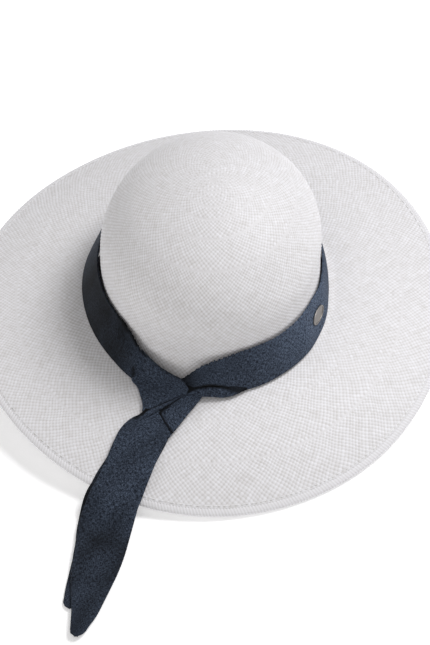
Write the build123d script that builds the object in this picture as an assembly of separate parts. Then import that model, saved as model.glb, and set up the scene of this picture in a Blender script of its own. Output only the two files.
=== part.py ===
from build123d import *
from math import atan2, cos, degrees, pi, radians, sin, sqrt
import os

# A wide-brimmed sun hat of woven straw with a knotted cloth sash.
# Millimetres. +Z up, +Y towards the wearer's front, +X towards the wearer's right.
# Origin: centre of the head opening, at the level where the sash meets the brim.
# The hat rests on the low parts of its brim. Angles run anticlockwise from +X, seen from above.

# ---- driving dimensions ----
WALL_HALF_WIDTH = 82.5        # outside of the crown wall, across the head
WALL_HALF_LENGTH = 100.5      # outside of the crown wall, front to back
STRAW = 1.0                   # thickness of the woven straw
CROWN_HEIGHT = 110.7          # head opening to the top of the dome
DOME_START = 47.0             # height where the straight wall becomes the dome
DOME_RISE = 42.0              # how long the dome keeps the wall's direction
DOME_FLAT = 34.0              # how far the dome's top stays level
WALL_RIGHT = 1.6              # the crown bulges this much further out on its right side
LEAN = 2.6                    # how far the top of the crown leans to the right
LEAN_LOW = 36.0               # the crown leans over between these two heights
LEAN_HIGH = 90.0
FLARE_TOP = 32.0              # height where the wall starts to flare into the brim
FLARE_REACH = 16.0            # how far out the flare ends
FLARE_BEND = 14.0             # height where the flare would leave the wall's direction
FLARE_PULL = 6.0              # roundness of the flare
FLARE_LEVEL = -1.8            # height of the brim where the flare ends
BRIM_REACH = 101.2            # crown wall to the brim's edge, level distance
BACK_EXTRA = 5.0              # the brim is this much wider opposite the knot
BACK_ANGLE = 80.0             # direction of that widest part
BACK_POWER = 6                # above 2, the wider part is narrower than a plain wave
EDGE_LOW = -29.5              # height of the brim edge where it touches the table
EDGE_LIFT = 19.5              # how far the edge rises between the two low parts
LIFT_ANGLE = 25.0             # direction of one high part; the other is opposite
LIFT_POWER = 2.5              # above 2, the low parts are flatter than a plain wave
SAG = 0.65                    # 0 is a straight cone from flare to edge, 1 a full curve
FLARE_PIECES = 6              # points on the flare's curve
BRIM_PIECES = 5
DOME_PIECES = 8

HEM_FOLD = 7.0                # width of the hem turned under at the brim's edge
HEM_BULGE = 1.0               # how far the folded edge bulges out
HEM_GAP = 2.0                 # room inside the fold
HEM_NOSE = 0.5                # how much the room's lower corner stays behind its upper one
WIRE = 1.1                    # diameter of the wire in the hem
JOINER = 1.6                  # outside diameter of the tube that joins the wire's ends
JOINER_HALF_ANGLE = 2.6       # half of the tube's length, as an angle
WIRE_GAP_HALF_ANGLE = 0.3     # half of the gap between the wire's ends
JOINER_ANGLE = 90.0
BORE_GAP = 0.1                # between the wire and its tube
BORE_OVERRUN = 0.5            # how far the cut runs past the tube's ends, as an angle

SWEATBAND = 1.0               # thickness of the sweatband
SWEATBAND_LOW = 7.0
SWEATBAND_HIGH = 38.0
TAB = 0.7
TAB_ANGLE = 270.0
TAB_HALF_ANGLE = 5.0
TAB_MARGIN = 5.0              # sweatband's edge to the strip's end
TOUCH = 0.1                   # gap between pieces that are sewn together
LABEL = 0.4
LABEL_ANGLE = 90.0
LABEL_HALF_ANGLE = 6.5
LABEL_MARGIN = 8.0            # sweatband's edge to the label's edge
CLEAR = 0.3                   # gap between pieces that lie against each other

SASH = 1.5                    # thickness of the folded sash
SASH_TOP = 30.4               # height of the sash's upper edge
SASH_TOP_REACH = 1.9          # upper edge's outside, from the crown wall
SASH_FOOT_REACH = 12.9        # lower edge's outside, from the crown wall
SASH_FOOT = 0.7
SASH_RIGHT = 4.0              # the foot is this much nearer the crown on the right side
SASH_RIGHT_ANGLE = 10.0
SASH_RIGHT_POWER = 12         # how quickly this fades away on both sides
SASH_RIGHT_RISE = 1.05        # height that the foot gains for each millimetre it is nearer

KNOT_FROM = 239.0             # the knot's two ends, as angles round the crown
KNOT_TO = 264.0
FOLD_TO = 271.5
KNOT_REACH = 34.5             # how far the knot stands out over the brim
KNOT_NOSE = 3.6               # thickness of the cloth at the knot's outer end
KNOT_CREST_SHARE = 0.62       # place of the crest, as a share of the knot's reach
KNOT_TOP = 3.2                # sash to the outside of the knot at its upper edge
KNOT_GAP = 0.6                # knot to the sash's foot and to the brim
WRAP_CREST = 8.0
WRAP_OVER = 1.0               # how far the wrap stands above the sash
FOLD_CREST = 5.0
FOLD_TOP = 12.0
FOLD_SHORTER = 6.0            # the fold ends this much nearer the crown than the wrap
FOLD_GAP = 0.4                # between wrap and fold, as an angle

TAIL_WIDTH = 36.5
TAIL = 1.5                    # thickness of a tail, two layers of cloth
TAIL_LIE = 0.9                # gap under the lower tail on the brim
MOUTH = (-29.0, -139.0)       # where both tails leave the knot, seen from above
MOUTH_SHARE = 0.72            # width of a tail at the mouth, as a share of its full width
BRIM_RUN = 62.0               # straight run of a tail before it bends
BEND_RADIUS = 105.0
FRONT_HEADING = 22.0          # headings are turned from -Y towards -X
FRONT_END_HEADING = 3.0
FRONT_LENGTH = 176.0
BACK_HEADING = 24.5
BACK_END_HEADING = 6.0
BACK_LENGTH = 152.0
TIP_SIDE = 6.0                # how far a tail's tip lies left of its middle line
TIP_LEFT_RUN = 34.0           # length over which the left edge comes in to the tip
TIP_LEFT_POWER = 0.5
TIP_RIGHT_RUN = 80.0
TIP_RIGHT_POWER = 0.62
TIP_SHORT = 1.0               # the last section stays this far from the point
MOUTH_RUN = 16.0              # length over which a tail grows to its full width
TAIL_GAP = 0.5                # between the two tails
TAIL_SECTIONS = 26
TAIL_PIECES = 4               # pieces across a tail
DRAPE_REACH = 30.0            # level distance over which a tail comes down to the table

BADGE_ANGLE = 338.5
BADGE_HEIGHT = 14.0
BADGE_LONG = 20.0             # along the sash
BADGE_WIDE = 10.0
BADGE = 1.0
BADGE_OFF = 0.15              # gap between the sash and the plate
BADGE_EDGE = 0.35             # rounding of the plate's outer edge
BADGE_RIM = 1.1               # width of the rim round the sunk middle
BADGE_SUNK = 0.3
BACKING = 0.4
BACKING_SHARE = (0.28, 0.4)   # half sizes of the backing, as shares of the badge's sizes
POST_RADIUS = 0.6
POST_SPREAD = 4.0
POST_END = 1.2                # how far a post stands out behind the backing
POST_FIT = 0.05               # gap between a post and the backing
TACK_ANGLES = (60.0, 120.0, 200.0, 300.0)
TACK_LENGTH = 4.0
TACK = 0.6                    # thickness of a tack's thread
TACK_DROP = 0.6               # sash's lower edge to the middle of a tack

CENTRE_DISC = 6.0             # radius of the disc of straw that closes the top of the dome
DOME_SHARE = 0.97             # part of the dome's curve that the turned shell covers
WIRE_INSET = 1.5              # edge of the brim to the middle of the wire
STITCH_INSET = 5.0            # edge of the brim to the hem's stitches
HEM_STITCHES = 168
HEM_STITCH = 4.5              # length of one stitch
HEM_THREAD = 0.3
HEM_THREAD_LIE = 0.42         # straw to the middle of the thread
BAND_STITCHES = 132
BAND_STITCH = 3.0
BAND_THREAD = 0.4
BAND_STITCH_HEIGHT = 2.5      # above the sweatband's lower edge
STEP = 0.5                    # small turn used to find a direction, in degrees
SECTIONS = 17                 # cross-sections in half a turn of a ring
TABLE = EDGE_LOW - 2 * STRAW - HEM_GAP
LINING_FACE = -STRAW - CLEAR - SWEATBAND


# ---- shape of the straw ----
def outward(angle, reach, z):
    """A point at a level distance outside the crown wall, at one angle."""
    a = radians(angle)
    return Vector((WALL_HALF_WIDTH + reach) * cos(a), (WALL_HALF_LENGTH + reach) * sin(a), z)


def wall_reach(angle):
    """Distance of the crown's wall outside the plain oval."""
    return WALL_RIGHT * max(cos(radians(angle)), 0) ** 2


def lean(z):
    """How far the crown is shifted to the right at a height."""
    s = min(max((z - LEAN_LOW) / (LEAN_HIGH - LEAN_LOW), 0), 1)
    return LEAN * s * s * (3 - 2 * s)


def edge_height(angle):
    """Top of the brim's edge: it touches the table twice and rises in between."""
    return EDGE_LOW + EDGE_LIFT * abs(cos(radians(angle - LIFT_ANGLE))) ** LIFT_POWER


def edge_reach(angle):
    """Level distance from the crown wall to the brim's edge."""
    return BRIM_REACH + BACK_EXTRA * max(cos(radians(angle - BACK_ANGLE)), 0) ** BACK_POWER


def brim_height(angle, reach):
    """Top of the brim beyond the flare."""
    s = (reach - FLARE_REACH) / (edge_reach(angle) - FLARE_REACH)
    return FLARE_LEVEL + (edge_height(angle) - FLARE_LEVEL) * ((1 - SAG) * s + SAG * s * s)


def flare_points(angle):
    """Bezier points (reach, height) of the curve from the crown wall to the brim."""
    slope = (1 - SAG) * (edge_height(angle) - FLARE_LEVEL) / (edge_reach(angle) - FLARE_REACH)
    pull = FLARE_LEVEL - slope * (FLARE_REACH - FLARE_PULL)
    wall = wall_reach(angle)
    return [(wall, FLARE_TOP), (wall, FLARE_BEND), (FLARE_PULL, pull), (FLARE_REACH, FLARE_LEVEL)]


def bezier(points, t):
    weights = [(1 - t) ** 3, 3 * t * (1 - t) ** 2, 3 * t * t * (1 - t), t ** 3]
    return [sum(w * p[k] for w, p in zip(weights, points)) for k in (0, 1)]


def skin(angle):
    """Outside of the straw from the crown wall to the brim's edge, as (reach, height)."""
    flare = [bezier(flare_points(angle), k / FLARE_PIECES) for k in range(FLARE_PIECES)]
    step = (edge_reach(angle) - FLARE_REACH) / BRIM_PIECES
    reaches = [FLARE_REACH + step * k for k in range(BRIM_PIECES + 1)]
    return flare + [(r, brim_height(angle, r)) for r in reaches]


def inner_skin(points, gap):
    """The same line moved inwards by the gap, square to itself."""
    moved = []
    for k, (r, z) in enumerate(points):
        before = points[max(k - 1, 0)]
        after = points[min(k + 1, len(points) - 1)]
        run, drop = after[0] - before[0], after[1] - before[1]
        size = sqrt(run * run + drop * drop)
        moved.append((r + drop / size * gap, z - run / size * gap))
    return moved


# ---- building blocks ----
def wire_at(strokes):
    """A closed wire; each stroke is a list of points, straight if there are only two."""
    edges = [Edge.make_line(*points) if len(points) == 2 else Edge.make_spline(points)
             for points in strokes]
    return Wire(edges)


def ring(strokes_at, start=0.0, end=360.0, sections=SECTIONS):
    """A solid whose cross-section at each angle has the outline strokes_at(angle)."""
    turns = 2 if end - start > 200 else 1
    span = (end - start) / turns
    count = max(3, round(sections * span / 180))
    pieces = []
    for turn in range(turns):
        angles = [start + span * (turn + k / (count - 1)) for k in range(count)]
        pieces.append(Solid.make_loft([wire_at(strokes_at(a)) for a in angles]))
    return pieces[0] if turns == 1 else pieces[0].fuse(pieces[1])


def loop(points):
    """A closed outline of straight strokes."""
    return [[a, b] for a, b in zip(points, points[1:] + points[:1])]


def outline(angle, flat_points):
    """A closed outline of straight strokes through (reach, height) points at one angle."""
    return loop([outward(angle, r, z) for r, z in flat_points])


def tube(radius, path, start=0.0, end=360.0):
    """A round bar that runs round the hat; path gives its (reach, height) at an angle."""
    def strokes(angle):
        reach, z = path(angle)
        turn = [outward(angle, reach + radius * cos(pi * k / 4), z + radius * sin(pi * k / 4))
                for k in range(9)]
        return [turn[:5], turn[4:]]
    return ring(strokes, start, end)


def stitches(count, length, path, thread):
    """Short straight stitches laid end to end round the hat, with gaps between them."""
    bars = []
    for k in range(count):
        angle = 360.0 * k / count
        here = outward(angle, *path(angle))
        ahead = outward(angle + STEP, *path(angle + STEP))
        lie = Plane(here, x_dir=ahead - here, z_dir=(0, 0, 1))
        bars.append((lie * Box(length, thread, thread)).solid())
    return Compound(children=bars)


# ---- straw and hem ----
def dome_points(angle, gap):
    """The dome's outline at one angle, from the wall up to the small hole at its top."""
    radius, height = WALL_HALF_WIDTH - gap, CROWN_HEIGHT - gap
    stretch = (WALL_HALF_LENGTH - gap) / radius
    wall = radius + wall_reach(angle)
    curve = [(wall, DOME_START), (wall, DOME_START + DOME_RISE), (DOME_FLAT, height), (0, height)]
    a = radians(angle)
    points = []
    for k in range(DOME_PIECES + 1):
        r, z = bezier(curve, DOME_SHARE * k / DOME_PIECES)
        points.append(Vector(r * cos(a) + lean(z), r * stretch * sin(a), z))
    return points


def straw_section(angle):
    """Straw from the top of the dome to the brim's edge, then folded under as a hem."""
    top = skin(angle)
    under = inner_skin(top, STRAW)
    slope = (top[-1][1] - top[-2][1]) / (top[-1][0] - top[-2][0])
    reach, edge = top[-1]
    fold = [(reach + HEM_BULGE, edge - 0.5 * HEM_GAP - STRAW), (reach, edge - 2 * STRAW - HEM_GAP)]
    tuck = (fold[1][0] - HEM_FOLD, fold[1][1] - slope * HEM_FOLD)
    pocket = [(tuck[0], tuck[1] + STRAW), (fold[1][0] - HEM_NOSE, fold[1][1] + STRAW),
              (reach, fold[0][1])]
    outer_dome, inner_dome = dome_points(angle, 0), dome_points(angle, STRAW)

    def place(points):
        return [outward(angle, r, z) for r, z in points]
    outer = place(top)
    inner = place(under)
    hem = [outer[-1]] + place(fold) + place([tuck]) + place(pocket) + [inner[-1]]
    return ([outer_dome[::-1], [outer_dome[0], outer[0]], outer]
            + [[a, b] for a, b in zip(hem, hem[1:])]
            + [inner[::-1], [inner[0], inner_dome[0]], inner_dome, [inner_dome[-1], outer_dome[-1]]])


def straw_body():
    shell = ring(straw_section)
    centre = Pos(LEAN, 0, CROWN_HEIGHT - 0.5 * STRAW) * Cylinder(CENTRE_DISC, 0.6 * STRAW)
    return shell.fuse(centre.solid())


def wire_path(angle):
    reach = edge_reach(angle) - WIRE_INSET
    return reach, brim_height(angle, reach) - 0.5 * HEM_GAP - STRAW - 0.5 * BORE_GAP


def brim_wire():
    start = JOINER_ANGLE + WIRE_GAP_HALF_ANGLE
    return tube(0.5 * WIRE, wire_path, start, start + 360 - 2 * WIRE_GAP_HALF_ANGLE)


def wire_joiner():
    low, high = JOINER_ANGLE - JOINER_HALF_ANGLE, JOINER_ANGLE + JOINER_HALF_ANGLE
    barrel = tube(0.5 * JOINER, wire_path, low, high)
    bore = tube(0.5 * WIRE + BORE_GAP, wire_path, low - BORE_OVERRUN,
                high + BORE_OVERRUN)
    return barrel.cut(bore)


def hem_stitching():
    def path(angle):
        reach = edge_reach(angle) - STITCH_INSET
        return reach, brim_height(angle, reach) + HEM_THREAD_LIE
    return stitches(HEM_STITCHES, HEM_STITCH, path, HEM_THREAD)


# ---- inside the crown ----
def band_patch(start, end, low, high, reach, thickness):
    """A flat band that follows the crown wall, its outer face at one reach."""
    def strokes(angle):
        return outline(angle, [(reach, low), (reach, high), (reach - thickness, high),
                               (reach - thickness, low)])
    return ring(strokes, start, end)


def sweatband():
    return band_patch(0, 360, SWEATBAND_LOW, SWEATBAND_HIGH, -STRAW - CLEAR, SWEATBAND)


def sweatband_tab():
    """A strip that covers the place where the sweatband's two ends meet, at the back."""
    return band_patch(TAB_ANGLE - TAB_HALF_ANGLE, TAB_ANGLE + TAB_HALF_ANGLE, SWEATBAND_LOW + TAB_MARGIN,
                      SWEATBAND_HIGH - TAB_MARGIN, LINING_FACE - TOUCH, TAB)


def size_label():
    """A blank woven label on the inside of the sweatband."""
    return band_patch(LABEL_ANGLE - LABEL_HALF_ANGLE, LABEL_ANGLE + LABEL_HALF_ANGLE,
                      SWEATBAND_LOW + LABEL_MARGIN, SWEATBAND_HIGH - LABEL_MARGIN,
                      LINING_FACE - TOUCH, LABEL)


def sweatband_stitching():
    path = (LINING_FACE - CLEAR, SWEATBAND_LOW + BAND_STITCH_HEIGHT)
    return stitches(BAND_STITCHES, BAND_STITCH, lambda angle: path, BAND_THREAD)


# ---- sash ----
def sash_foot(angle):
    """Outside of the sash's lower edge, as (reach, height)."""
    closer = SASH_RIGHT * max(cos(radians(angle - SASH_RIGHT_ANGLE)), 0) ** SASH_RIGHT_POWER
    return SASH_FOOT_REACH - closer, SASH_FOOT + SASH_RIGHT_RISE * closer


def sash_top_reach(angle):
    return SASH_TOP_REACH + wall_reach(angle)


def sash_reach(angle, z):
    """Outside of the sash: it leans in from its foot to its upper edge."""
    reach, foot = sash_foot(angle)
    return reach + (sash_top_reach(angle) - reach) * (z - foot) / (SASH_TOP - foot)


def sash_lean(angle, z, out):
    """A plane on the sash: x along it, y up its slope, z outwards."""
    def at(turn, height):
        return outward(turn, sash_reach(turn, height), height)
    here = at(angle, z)
    ahead = at(angle + STEP, z) - at(angle - STEP, z)
    rise = at(angle, z + 1) - here
    normal = ahead.cross(rise).normalized()
    return Plane(here + normal * out, x_dir=ahead, z_dir=normal)


def sash_band():
    def strokes(angle):
        reach, foot = sash_foot(angle)
        top = sash_top_reach(angle)
        return outline(angle, [(reach, foot), (top, SASH_TOP), (top - SASH, SASH_TOP),
                               (reach - SASH, foot)])
    band = ring(strokes)
    for hole in badge_posts(POST_RADIUS + BADGE_OFF):
        band = band.cut(hole)
    return band


def badge_posts(radius):
    lean = sash_lean(BADGE_ANGLE, BADGE_HEIGHT, BADGE_OFF)
    length = SASH + BADGE_OFF + BACKING + POST_END
    return [(lean * Pos(side * POST_SPREAD, 0, -0.5 * length) * Cylinder(radius, length)).solid()
            for side in (-1, 1)]


def badge_plate():
    """A blank oval plate with two posts that go through the sash."""
    lean = sash_lean(BADGE_ANGLE, BADGE_HEIGHT, BADGE_OFF)
    plate = extrude(Ellipse(0.5 * BADGE_LONG, 0.5 * BADGE_WIDE), BADGE)
    plate = fillet(plate.edges().group_by(Axis.Z)[-1], BADGE_EDGE)
    sunk = extrude(Ellipse(0.5 * BADGE_LONG - BADGE_RIM, 0.5 * BADGE_WIDE - BADGE_RIM), BADGE_SUNK)
    plate = plate - Pos(0, 0, BADGE - BADGE_SUNK) * sunk
    solid = (lean * plate).solid()
    for post in badge_posts(POST_RADIUS):
        solid = solid.fuse(post)
    return solid


def badge_backing():
    """A thin plate behind the sash, held by the badge's two posts."""
    lean = sash_lean(BADGE_ANGLE, BADGE_HEIGHT, -SASH - BADGE_OFF - BACKING)
    half_long, half_wide = BACKING_SHARE[0] * BADGE_LONG, BACKING_SHARE[1] * BADGE_WIDE
    plate = (lean * extrude(Ellipse(half_long, half_wide), BACKING)).solid()
    for hole in badge_posts(POST_RADIUS + POST_FIT):
        plate = plate.cut(hole)
    return plate


def sash_tacks():
    """Four thread tacks under the sash's foot that hold it to the straw."""
    bars = []
    for angle in TACK_ANGLES:
        reach, foot = sash_foot(angle)
        here = outward(angle, reach - 0.5 * SASH, foot - TACK_DROP)
        ahead = outward(angle + STEP, reach - 0.5 * SASH, foot - TACK_DROP)
        lie = Plane(here, x_dir=ahead - here, z_dir=(0, 0, 1))
        bars.append((lie * Box(TACK_LENGTH, TACK, TACK)).solid())
    return Compound(children=bars)


# ---- knot ----
def knot_strokes(end_reach, crest, top):
    """Cross-section of a fold that lies against the sash and bends out over the brim."""
    def strokes(angle):
        under = [(r, brim_height(angle, r) + KNOT_GAP) for r in (FLARE_REACH + KNOT_GAP, end_reach)]
        over = [(end_reach, under[-1][1] + KNOT_NOSE), (KNOT_CREST_SHARE * end_reach, crest),
                (sash_reach(angle, top) + KNOT_TOP, top)]
        inner = [(sash_reach(angle, top) + CLEAR, top),
                 (SASH_FOOT_REACH + KNOT_GAP, SASH_FOOT + KNOT_GAP)]
        return outline(angle, inner + under + over)
    return strokes


def knot_wrap():
    """The fold of the sash's left arm that crosses over the right arm."""
    return ring(knot_strokes(KNOT_REACH, WRAP_CREST, SASH_TOP + WRAP_OVER), KNOT_FROM, KNOT_TO)


def knot_fold():
    """The fold of the right arm that comes out under the wrap."""
    strokes = knot_strokes(KNOT_REACH - FOLD_SHORTER, FOLD_CREST, FOLD_TOP)
    return ring(strokes, KNOT_TO + FOLD_GAP, FOLD_TO)


# ---- tails ----
def polar(x, y):
    """Angle and reach of a point seen from above."""
    low, high = -60.0, 300.0
    for _ in range(40):
        middle = 0.5 * (low + high)
        outside = (x / (WALL_HALF_WIDTH + middle)) ** 2 + (y / (WALL_HALF_LENGTH + middle)) ** 2 > 1
        low, high = (middle, high) if outside else (low, middle)
    return degrees(atan2(y / (WALL_HALF_LENGTH + low), x / (WALL_HALF_WIDTH + low))), low


def lie_height(x, y):
    """Height of the surface that a tail lies on: the brim, then the table beyond it."""
    angle, reach = polar(x, y)
    if reach <= BRIM_REACH:
        return brim_height(angle, reach) + TAIL_LIE
    s = min((reach - BRIM_REACH) / DRAPE_REACH, 1.0)
    fall = s * s * (3 - 2 * s)
    return (edge_height(angle) + TAIL_LIE) * (1 - fall) + (TABLE + TOUCH) * fall


def centre_line(turn_from, turn_to, s):
    """Point and heading of a tail's middle line, s along it: straight, an arc, straight."""
    x, y = MOUTH
    arc = radians(turn_from - turn_to) * BEND_RADIUS
    parts = [(min(s, BRIM_RUN), turn_from), (max(s - BRIM_RUN - arc, 0), turn_to)]
    bend = min(max(s - BRIM_RUN, 0), arc)
    heading = turn_from - degrees(bend / BEND_RADIUS)
    for length, angle in parts:
        x -= length * sin(radians(angle))
        y -= length * cos(radians(angle))
    x -= BEND_RADIUS * (cos(radians(heading)) - cos(radians(turn_from)))
    y -= BEND_RADIUS * (sin(radians(turn_from)) - sin(radians(heading)))
    return x, y, radians(heading)


def tail(turn_from, turn_to, length, lift):
    """A strip of cloth from the knot's mouth over the brim's edge to the table."""
    sections = []
    for k in range(TAIL_SECTIONS):
        s = (length - TIP_SHORT) * k / (TAIL_SECTIONS - 1)
        x, y, heading = centre_line(turn_from, turn_to, s)
        rest = length - s
        left_part = min(rest / TIP_LEFT_RUN, 1) ** TIP_LEFT_POWER
        right_part = min(rest / TIP_RIGHT_RUN, 1) ** TIP_RIGHT_POWER
        left = TIP_SIDE + (0.5 * TAIL_WIDTH - TIP_SIDE) * left_part
        right = -TIP_SIDE + (0.5 * TAIL_WIDTH + TIP_SIDE) * right_part
        grow = MOUTH_SHARE + (1 - MOUTH_SHARE) * min(s / MOUTH_RUN, 1)
        under = []
        for share in [k / TAIL_PIECES for k in range(TAIL_PIECES + 1)]:
            side = (left - (left + right) * share) * grow
            px, py = x - side * cos(heading), y + side * sin(heading)
            under.append(Vector(px, py, lie_height(px, py) + lift))
        over = [p + Vector(0, 0, TAIL) for p in under]
        sections.append(wire_at([under, [under[-1], over[-1]], over[::-1], [over[0], under[0]]]))
    return Solid.make_loft(sections)


def back_tail():
    return tail(BACK_HEADING, BACK_END_HEADING, BACK_LENGTH, 0.0)


def front_tail():
    return tail(FRONT_HEADING, FRONT_END_HEADING, FRONT_LENGTH, TAIL + TAIL_GAP)


NODES = [straw_body, brim_wire, wire_joiner, hem_stitching, sweatband, sweatband_tab,
         sweatband_stitching, size_label, sash_band, sash_tacks, knot_wrap, knot_fold,
         badge_plate, badge_backing, back_tail, front_tail]

os.makedirs("parts", exist_ok=True)
for node in NODES:
    solid = node()
    export_step(solid, f"parts/{node.__name__}.step")
    print(node.__name__, len(solid.solids()), solid.is_valid, round(solid.volume))
print("hinge height at the mouth", round(lie_height(*MOUTH) + 0.5 * TAIL, 2))
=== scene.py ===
import math

import bpy
import numpy as np
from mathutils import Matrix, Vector


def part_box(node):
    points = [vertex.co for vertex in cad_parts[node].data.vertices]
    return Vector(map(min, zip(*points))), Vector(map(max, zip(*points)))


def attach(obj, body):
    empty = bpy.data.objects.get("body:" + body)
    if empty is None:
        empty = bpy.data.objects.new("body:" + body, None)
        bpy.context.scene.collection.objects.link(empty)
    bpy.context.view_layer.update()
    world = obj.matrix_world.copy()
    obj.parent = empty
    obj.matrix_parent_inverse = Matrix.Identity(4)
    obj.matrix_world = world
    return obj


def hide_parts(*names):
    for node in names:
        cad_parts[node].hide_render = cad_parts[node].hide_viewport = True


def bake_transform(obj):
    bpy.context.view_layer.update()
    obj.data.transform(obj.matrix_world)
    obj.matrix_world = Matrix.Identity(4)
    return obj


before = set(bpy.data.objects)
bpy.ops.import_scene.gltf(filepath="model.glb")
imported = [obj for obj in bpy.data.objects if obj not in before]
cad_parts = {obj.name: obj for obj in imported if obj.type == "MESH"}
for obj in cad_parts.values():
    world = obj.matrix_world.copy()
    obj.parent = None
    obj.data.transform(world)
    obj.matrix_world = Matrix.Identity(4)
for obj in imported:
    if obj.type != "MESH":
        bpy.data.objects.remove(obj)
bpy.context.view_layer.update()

# A woven straw sun hat with a knotted sash. Metres; +Z up, +Y towards the wearer's front.
# "reach" is a level distance outside the crown wall; angles run anticlockwise from +X.
MM = 0.001
rng = np.random.default_rng(7)

# ---- shape of the straw, the same as the CAD's ----
straw_low, straw_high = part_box("straw_body")
TABLE = straw_low.z
CROWN_TOP = straw_high.z
STRAW = 1.0 * MM         # thickness
BRIM_REACH = 101.2 * MM
BACK_EXTRA = 5.0 * MM    # the brim is this much wider opposite the knot
BACK_ANGLE = math.radians(80.0)
BACK_POWER = 6
WALL_X = 82.5 * MM
WALL_Y = 100.5 * MM
WALL_MEAN = 0.5 * (WALL_X + WALL_Y)
DOME_START = 47.0 * MM
DOME_RISE = 42.0 * MM
DOME_FLAT = 34.0 * MM
WALL_RIGHT = 1.6 * MM    # bulge of the wall on the right
LEAN = 2.6 * MM          # shift of the dome to the right, from none at LEAN_LOW
LEAN_LOW = 36.0 * MM
LEAN_HIGH = 90.0 * MM
FLARE_TOP = 32.0 * MM
FLARE_BEND = 14.0 * MM
FLARE_REACH = 16.0 * MM
FLARE_PULL = 6.0 * MM
FLARE_LEVEL = -1.8 * MM
FLARE_PACE = 2.2         # step size of the search in flare_at
FLARE_SLOWEST = 0.2      # least t that its step size is worked out for
EDGE_LOW = -29.5 * MM
EDGE_LIFT = 19.5 * MM    # rise of the brim's edge at its two high places
LIFT_ANGLE = math.radians(25.0)
LIFT_POWER = 2.5
SAG = 0.65               # how much of the brim's fall is a curve; the rest is straight


def wall_reach(angle):
    """Distance of the crown's wall outside the plain oval."""
    return WALL_RIGHT * np.maximum(np.cos(angle), 0) ** 2


def lean(z):
    """How far the crown is shifted to the right at a height."""
    s = np.clip((z - LEAN_LOW) / (LEAN_HIGH - LEAN_LOW), 0, 1)
    return LEAN * s * s * (3 - 2 * s)


def edge_height(angle):
    """Height of the brim's edge."""
    return EDGE_LOW + EDGE_LIFT * np.abs(np.cos(angle - LIFT_ANGLE)) ** LIFT_POWER


def edge_reach(angle):
    """Reach of the brim's edge."""
    return BRIM_REACH + BACK_EXTRA * np.maximum(np.cos(angle - BACK_ANGLE), 0) ** BACK_POWER


def brim_height(angle, reach):
    """Height of the brim outside the flare."""
    s = (reach - FLARE_REACH) / (edge_reach(angle) - FLARE_REACH)
    return FLARE_LEVEL + (edge_height(angle) - FLARE_LEVEL) * ((1 - SAG) * s + SAG * s * s)


def bezier(points, t):
    """A cubic curve of four (reach, height) points, as two arrays."""
    weights = [(1 - t) ** 3, 3 * t * (1 - t) ** 2, 3 * t * t * (1 - t), t ** 3]
    return [sum(w * p[k] for w, p in zip(weights, points)) for k in (0, 1)]


def flare(angle, t):
    """(reach, height) on the curve from the crown wall, t = 0, to the brim, t = 1."""
    slope = (1 - SAG) * (edge_height(angle) - FLARE_LEVEL) / (edge_reach(angle) - FLARE_REACH)
    pull = FLARE_LEVEL - slope * (FLARE_REACH - FLARE_PULL)
    wall = wall_reach(angle)
    return bezier([(wall, FLARE_TOP), (wall, FLARE_BEND), (FLARE_PULL, pull),
                   (FLARE_REACH, FLARE_LEVEL)], t)


def flare_at(angle, reach, start, tries):
    """The flare's t at a reach, by steps that start from no less than start."""
    t = np.clip(reach / FLARE_REACH, start, 1)
    for _ in range(tries):
        miss = flare(angle, t)[0] - reach
        t = np.clip(t - miss / (FLARE_PACE * FLARE_REACH * np.clip(t, FLARE_SLOWEST, 1)), 0, 1)
    return t


def outward(angle, reach, z):
    """Points at an angle, a reach and a height."""
    return np.stack([(WALL_X + reach) * np.cos(angle), (WALL_Y + reach) * np.sin(angle),
                     np.broadcast_to(z, np.shape(angle))], -1)


def crown_point(angle, t):
    """The crown from its top, t = 0, over the dome (to 1), the wall (to 2) and the flare (to 3)."""
    wall = wall_reach(angle)
    dome = bezier([(WALL_X + wall, DOME_START), (WALL_X + wall, DOME_START + DOME_RISE),
                   (DOME_FLAT, CROWN_TOP), (0, CROWN_TOP)], 1 - np.clip(t, 0, 1))
    curve = flare(angle, np.clip(t - 2, 0, 1))
    side = FLARE_TOP + (DOME_START - FLARE_TOP) * np.clip(2 - t, 0, 1)
    share = dome[0] / WALL_X
    reach = np.where(t > 2, curve[0], wall)
    z = np.where(t < 1, dome[1], np.where(t < 2, side, curve[1]))
    x = np.where(t < 1, WALL_X * share, WALL_X + reach)
    y = np.where(t < 1, WALL_Y * share, WALL_Y + reach)
    return np.stack([x * np.cos(angle) + lean(z), y * np.sin(angle), z + 0 * angle], -1)


def brim_point(angle, reach):
    """The brim's top for a reach as if the brim were BRIM_REACH wide all round."""
    widen = (edge_reach(angle) - FLARE_REACH) / (BRIM_REACH - FLARE_REACH)
    reach = np.where(reach > FLARE_REACH, FLARE_REACH + (reach - FLARE_REACH) * widen, reach)
    t = flare_at(angle, reach, 0, 12)
    z = np.where(reach < FLARE_REACH, flare(angle, t)[1], brim_height(angle, reach))
    return outward(angle, reach, z)


def lifted(surface, angle, along, height):
    """Points at a height above a surface, square to it; along is in metres on the brim only."""
    here = surface(angle, along)
    step = 1e-5 if surface is brim_point else 1e-3
    side = surface(angle + 1e-4, along) - here
    down = surface(angle, along + step) - here
    normal = np.cross(down, side)
    normal /= np.linalg.norm(normal, axis=-1, keepdims=True)
    return here + normal * height[..., None]


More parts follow.
